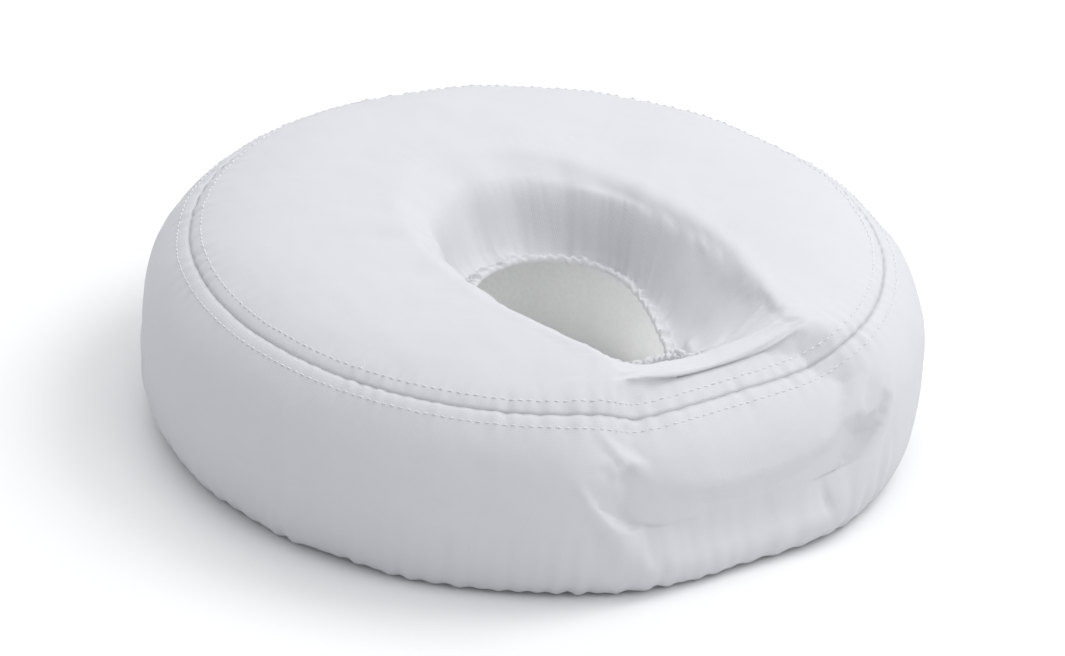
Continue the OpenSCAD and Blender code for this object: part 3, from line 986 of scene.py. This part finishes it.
def capped_shell(name, rings, rise, thick, material, nodes, up=True, turn=1.1, seed=5):
    """The top or bottom panel: rings in from the seam and a soft sheet across, as a closed shell."""
    R = np.array(rings)
    m = len(R)
    v, f = [R.reshape(-1, 3)], [grid_faces(m, NS)]
    at = m * NS
    for g in shoe_cap(R[-1], 20, rise):
        f.append(grid_faces(g.shape[0], g.shape[1], loop=False, start=at))
        v.append(g.reshape(-1, 3))
        at += g.shape[0] * g.shape[1]
    o = new_mesh(name, np.concatenate(v), np.concatenate(f), weld=0.02)
    me = o.data
    # soft unevenness, then thickness inwards
    n = len(me.vertices)
    co, no = np.zeros(n * 3), np.zeros(n * 3)
    me.vertices.foreach_get("co", co)
    me.vertex_normals.foreach_get("vector", no)
    co, no = co.reshape(-1, 3) / MM, no.reshape(-1, 3)
    want = 1 if up else -1
    if no[:, 2].mean() * want < 0:
        no = -no
    co = co + no * (0.18 * lumps(co[:, 0], co[:, 1], co[:, 2], seed, 30))[:, None]
    faces = [tuple(p.vertices) for p in me.polygons]
    bm = bmesh.new()
    bm.from_mesh(me)
    rim = [(e.verts[0].index, e.verts[1].index) for e in bm.edges if e.is_boundary]
    bm.free()
    inner = co - no * thick
    verts = np.concatenate([co, inner])
    allf = faces + [tuple(i + n for i in reversed(p)) for p in faces] + [(a, b, b + n, a + n) for a, b in rim]
    bpy.data.objects.remove(o)
    bpy.data.meshes.remove(me)
    o = new_mesh(name, verts, allf, verts[:, :2] * MM)
    o.data.materials.append(material)
    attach(o, "root")
    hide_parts(*nodes)
    return o


top_rings = shoe_profile("brow", 0.4, 12, SEAM_U, 1.0)
top_rings[0] = top_rings[0] - Z * 1.0 - SN * 0.5
top_shell = capped_shell("cushion_top", top_rings, True, 1.2, M_PU, ["cushion_top_panel"], seed=6)
bottom_ring = [SP - (8.6 + e)[:, None] * SN + Z * z for e, z in
               ((np.full(NS, 0.0), BASE_Z + 1.2), (np.full(NS, 0.7), BASE_Z + 0.35), (np.full(NS, 1.8), BASE_Z), (np.full(NS, 6.0), BASE_Z))]
bottom_shell = capped_shell("cushion_bottom", bottom_ring, False, 1.2, M_PU_BASE, ["cushion_bottom_panel"], up=False, seed=8)


def solid_shoe(name, rings, material, nodes, seed, amp=0.12, rise=True):
    o = closed_shoe(name, rings, rise)
    me = o.data
    n = len(me.vertices)
    co, no = np.zeros(n * 3), np.zeros(n * 3)
    me.vertices.foreach_get("co", co)
    me.vertex_normals.foreach_get("vector", no)
    co, no = co.reshape(-1, 3) / MM, no.reshape(-1, 3)
    co = co + no * (amp * lumps(co[:, 0], co[:, 1], co[:, 2], seed, 9) - amp)[:, None]
    me.vertices.foreach_set("co", (co * MM).ravel())
    me.update()
    o.data.materials.append(material)
    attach(o, "root")
    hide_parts(*nodes)
    return o


SPLIT = 46.0
u_split = 0.16
split_rows = shoe_profile("brow", 2.3, 4, 0.0, u_split)
for r_ in split_rows[1:]:
    r_[:, 2] = MID + (SPLIT - 0.1 - MID) * (r_[:, 2] - MID) / (split_rows[-1][:, 2] - MID) if r_ is not split_rows[-1] else r_[:, 2]
split_rows[-1][:, 2] = SPLIT - 0.1
soft_rows = [r_ for r_ in shoe_profile("brow", 2.3, 20, 0.0, 1.0) if (r_[:, 2] > SPLIT + 0.8).all()]
first_row = split_rows[-1].copy()
first_row[:, 2] = SPLIT + 0.1
base_foam = solid_shoe("foam_base", shoe_profile("foot", 2.3, 7) + split_rows, M_FIRM, ["base_foam"], 51, rise=False)
soft_foam = solid_shoe("foam_comfort", [first_row] + soft_rows, M_SOFT, ["comfort_foam"], 52, rise=True)

# stitches along the upholstery's lower seam, which shows from below
k = 1
low = np.concatenate([OUT_P[k + 1], IN_P[k + 1][1:-1]])
low_n = np.concatenate([OUT_N[k + 1], IN_N[k + 1][1:-1]])
stitches("stitches_bottom", low, low_n, 4.0, 3.0, 0.24, M_THREAD_PU)


# ------------------------------------------------------------------ loop tape and label

def loop_strip(name, cx, cy, length, width, turn, node_name, seed):
    """A strip of loop tape, face down on the resting plane: woven selvedges and a raised pile."""
    nl, nw = int(length / 1.6), int(width / 1.6)
    u = np.linspace(-length / 2, length / 2, nl + 1)
    w = np.linspace(-width / 2, width / 2, nw + 1)
    U, W = np.meshgrid(u, w, indexing="ij")
    # short cut corners
    cut = np.clip(np.abs(U) - (length / 2 - 3), 0, 3)
    W2 = W * (1 - cut / (width / 2))
    edge = np.minimum(width / 2 - np.abs(W2) - cut, length / 2 - np.abs(U))
    pile = smooth((edge - 1.2) / 1.6)
    r = np.random.default_rng(seed)
    rough = r.normal(0, 0.10, U.shape)
    low = 1.25 - 1.0 * pile - rough * pile * 0.8
    low = np.maximum(low, 0.02)
    c, s = math.cos(turn), math.sin(turn)
    X, Y = cx + c * U - s * W2, cy + s * U + c * W2
    bottom = np.stack([X, Y, low], -1)
    top = np.stack([X, Y, np.full_like(X, BASE_Z - 0.02)], -1)
    m, n = U.shape
    v = np.concatenate([bottom.reshape(-1, 3), top.reshape(-1, 3)])
    S = m * n
    f = [grid_faces(m, n, loop=False), grid_faces(m, n, loop=False, start=S, turn=True)]
    j = np.arange(n - 1)
    e = (m - 1) * n
    f.append(np.stack([j, S + j, S + j + 1, j + 1], -1))
    f.append(np.stack([e + j + 1, S + e + j + 1, S + e + j, e + j], -1))
    i = np.arange(m - 1) * n
    f.append(np.stack([i, i + n, S + i + n, S + i], -1))
    f.append(np.stack([i + n - 1, S + i + n - 1, S + i + 2 * n - 1, i + 2 * n - 1], -1))
    o = new_mesh(name, v, np.concatenate(f), v[:, :2] * MM)
    o.data.materials.append(M_LOOP)
    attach(o, "root")
    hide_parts(node_name)
    # a box of stitches round the strip
    a, b = length / 2 - 2.2, width / 2 - 0.9
    path = []
    for (x0, y0), (x1, y1) in (((-a, -b), (a, -b)), ((a, -b), (a, b)), ((a, b), (-a, b)), ((-a, b), (-a, -b))):
        for q in np.linspace(0, 1, 40, endpoint=False):
            path.append((x0 + (x1 - x0) * q, y0 + (y1 - y0) * q))
    path = np.array(path)
    pull = np.clip(np.abs(path[:, 0]) - (length / 2 - 3), 0, 3)
    path[:, 1] *= 1 - pull / (width / 2)
    X, Y = cx + c * path[:, 0] - s * path[:, 1], cy + s * path[:, 0] + c * path[:, 1]
    pp = np.stack([X, Y, np.full_like(X, 1.12)], -1)
    stitches(name + "_stitches", pp, np.tile([0, 0, -1.0], (len(pp), 1)), 3.0, 2.3, 0.2, M_THREAD_PU)
    return o


tape_x = A - 60
loop_strip("tape_left", -tape_x, -8, 104, 30, math.pi / 2, "loop_strip_left", 61)
loop_strip("tape_right", tape_x, -8, 104, 30, math.pi / 2, "loop_strip_right", 62)
loop_strip("tape_crown", 0, B - 54, 90, 30, 0.0, "loop_strip_crown", 63)


def care_label():
    """A blank folded satin ribbon that hangs from the hem against the underside."""
    lo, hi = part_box("care_label")
    w, length = 18.0, 25.0
    nu, nv = 14, 20
    U, V = np.meshgrid(np.linspace(-w / 2, w / 2, nu), np.linspace(0, length, nv), indexing="ij")
    s = V / length
    curl = 0.30 * np.sin(math.pi * s) + 0.16 * np.sin(U / w * 5 + s * 4) * s
    y0 = A - 24 - 24.4
    r = math.radians(45)
    X0, Y0 = U, y0 + V
    X, Y = X0 * math.cos(r) - Y0 * math.sin(r), X0 * math.sin(r) + Y0 * math.cos(r)
    top = np.stack([X, Y, 1.72 + curl * 0.9], -1)
    bot = np.stack([X, Y, 1.25 + curl * 0.9], -1)
    m, n = U.shape
    v = np.concatenate([top.reshape(-1, 3), bot.reshape(-1, 3)])
    S = m * n
    f = [grid_faces(m, n, loop=False), grid_faces(m, n, loop=False, start=S, turn=True)]
    j = np.arange(n - 1)
    e = (m - 1) * n
    f.append(np.stack([j, S + j, S + j + 1, j + 1], -1))
    f.append(np.stack([e + j + 1, S + e + j + 1, S + e + j, e + j], -1))
    i = np.arange(m - 1) * n
    f.append(np.stack([i, i + n, S + i + n, S + i], -1))
    f.append(np.stack([i + n - 1, S + i + n - 1, S + i + 2 * n - 1, i + 2 * n - 1], -1))
    uv = np.stack([U, V], -1).reshape(-1, 2) * MM
    o = new_mesh("label_blank", v, np.concatenate(f), np.concatenate([uv, uv]))
    o.data.materials.append(M_LABEL)
    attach(o, "root")
    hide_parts("care_label")
    return o


label = care_label()


# ------------------------------------------------------------------ helpers for a mesh's area and a ring's length

def area_of(o):
    me = o.data
    a = np.zeros(len(me.polygons))
    me.polygons.foreach_get("area", a)
    return float(a.sum())


def ring_len(P):
    return float(np.linalg.norm(np.roll(P, -1, 0) - P, axis=-1).sum()) * MM


# ------------------------------------------------------------------ floor, light and camera

def floor():
    v = [(-4000, -4000, -0.05), (4000, -4000, -0.05), (4000, 4000, -0.05), (-4000, 4000, -0.05)]
    o = new_mesh("floor", v, [(0, 1, 2, 3)], flat=True)
    m, nt, b = mat("floor_pale", (0.86, 0.86, 0.865), rough=0.85, spec=0.2)
    n = node(nt, "ShaderNodeTexNoise", Scale=3.0, Detail=2.0)
    nt.links.new(node(nt, "ShaderNodeTexCoord").outputs["Object"], n.inputs["Vector"])
    tinted(nt, b, n.outputs["Fac"], (0.855, 0.855, 0.86), (0.87, 0.87, 0.873))
    o.data.materials.append(m)
    return o


floor()


def area_light(name, az, el, dist, size, power, colour=(1, 1, 1), aim=(0, 0, 0.03)):
    a, e = math.radians(az), math.radians(el)
    back = Vector((math.sin(a) * math.cos(e), -math.cos(a) * math.cos(e), math.sin(e)))
    d = bpy.data.lights.new(name, "AREA")
    d.shape, d.size, d.energy, d.color = "DISK", size, power, colour
    o = bpy.data.objects.new(name, d)
    o.location = Vector(aim) + back * dist
    o.rotation_mode = "QUATERNION"
    o.rotation_quaternion = (-back).to_track_quat("-Z", "Y")
    bpy.context.scene.collection.objects.link(o)
    return o


area_light("key", 75, 52, 1.5, 0.9, 9.5)
area_light("back", 165, 40, 1.6, 1.0, 4.6)
area_light("fill", 12, 48, 1.8, 1.2, 5.0)
area_light("top", 0, 88, 1.7, 1.3, 4.0)
# the cushion's own hole is open below, so a little light comes up through it
area_light("below", 0, -90, 0.032, 0.044, 0.02, aim=(0.0, -0.036, 0.036))
w = bpy.data.worlds.new("studio")
w.use_nodes = True
w.node_tree.nodes["Background"].inputs[0].default_value = (0.96, 0.98, 1.0, 1)
w.node_tree.nodes["Background"].inputs[1].default_value = 0.68
bpy.context.scene.world = w
bpy.context.scene.view_settings.view_transform = "Standard"

AZ, EL, ROLL, DIST, LENS = -37.3, 27.9, 3.0, 4.6, 430.0
a, e = math.radians(AZ), math.radians(EL)
back = Vector((math.sin(a) * math.cos(e), -math.cos(a) * math.cos(e), math.sin(e)))
cam_d = bpy.data.cameras.new("camera")
cam_d.lens = LENS
cam_d.sensor_width = 36
cam_d.clip_start, cam_d.clip_end = 0.1, 50
cam_d.dof.use_dof = False
cam = bpy.data.objects.new("camera", cam_d)
aim = Vector((0.0, 0.0, 0.036))
cam.location = aim + back * DIST
cam.rotation_mode = "QUATERNION"
q = (-back).to_track_quat("-Z", "Y")
cam.rotation_quaternion = q @ Matrix.Rotation(math.radians(ROLL), 4, "Z").to_quaternion()
bpy.context.scene.collection.objects.link(cam)
bpy.context.scene.camera = cam
